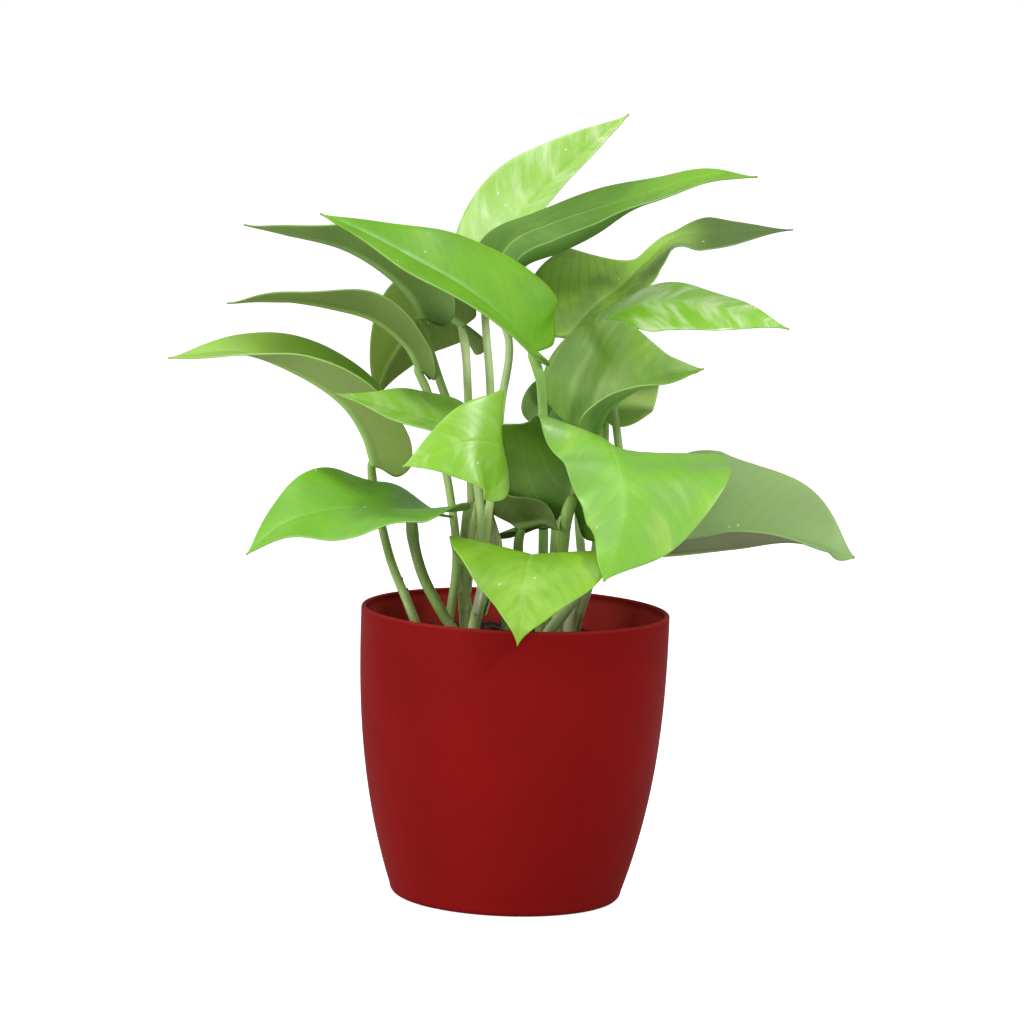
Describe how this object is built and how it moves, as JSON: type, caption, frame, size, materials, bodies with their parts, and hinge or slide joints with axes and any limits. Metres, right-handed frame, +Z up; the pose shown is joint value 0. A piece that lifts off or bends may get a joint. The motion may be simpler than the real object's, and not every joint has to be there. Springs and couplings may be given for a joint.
{
  "type": "potted golden pothos",
  "caption": "Young golden pothos with glossy heart-shaped leaves on upright stalks, in soil in a plain round red plastic pot.",
  "frame": {"origin": "centre of the pot's flat underside", "axes": "+Z up, along the pot's axis; the picture looks along +Y with +X to the right"},
  "size_m": [0.2483, 0.1233, 0.2824],
  "materials": {
    "red_plastic": "matte, plain red",
    "potting_soil": "dark, crumbly, damp",
    "vine_green": "pale green, smooth",
    "stalk_green": "mid green, smooth",
    "leaf_green": "glossy, waxy green with lime streaks"
  },
  "bodies": {
    "root": {"pot": "red_plastic", "soil": "potting_soil", "vine_left": "vine_green", "vine_middle": "vine_green", "vine_right": "vine_green", "stalk_04": "stalk_green", "stalk_05": "stalk_green", "stalk_06": "stalk_green", "stalk_08": "stalk_green", "stalk_11": "stalk_green", "stalk_12": "stalk_green", "stalk_16": "stalk_green", "stalk_17": "stalk_green", "stalk_18": "stalk_green", "stalk_19": "stalk_green", "leaf_01_top": "leaf_green", "leaf_02_upper_right": "leaf_green", "leaf_03_right_twisted": "leaf_green", "leaf_04_upper_left": "leaf_green", "leaf_05_left_high": "leaf_green", "leaf_06_left_mid": "leaf_green", "leaf_07_back_left": "leaf_green", "leaf_08_left_folded": "leaf_green", "leaf_09_left_small": "leaf_green", "leaf_10_centre_lime": "leaf_green", "leaf_11_front_arching": "leaf_green", "leaf_12_far_right": "leaf_green", "leaf_13_right_bright": "leaf_green", "leaf_14_centre_grey": "leaf_green", "leaf_15_behind_right": "leaf_green", "leaf_16_left_low": "leaf_green", "leaf_17_over_the_lip": "leaf_green", "leaf_18_small_dark": "leaf_green", "leaf_19_back_small": "leaf_green"}
  },
  "joints": []
}
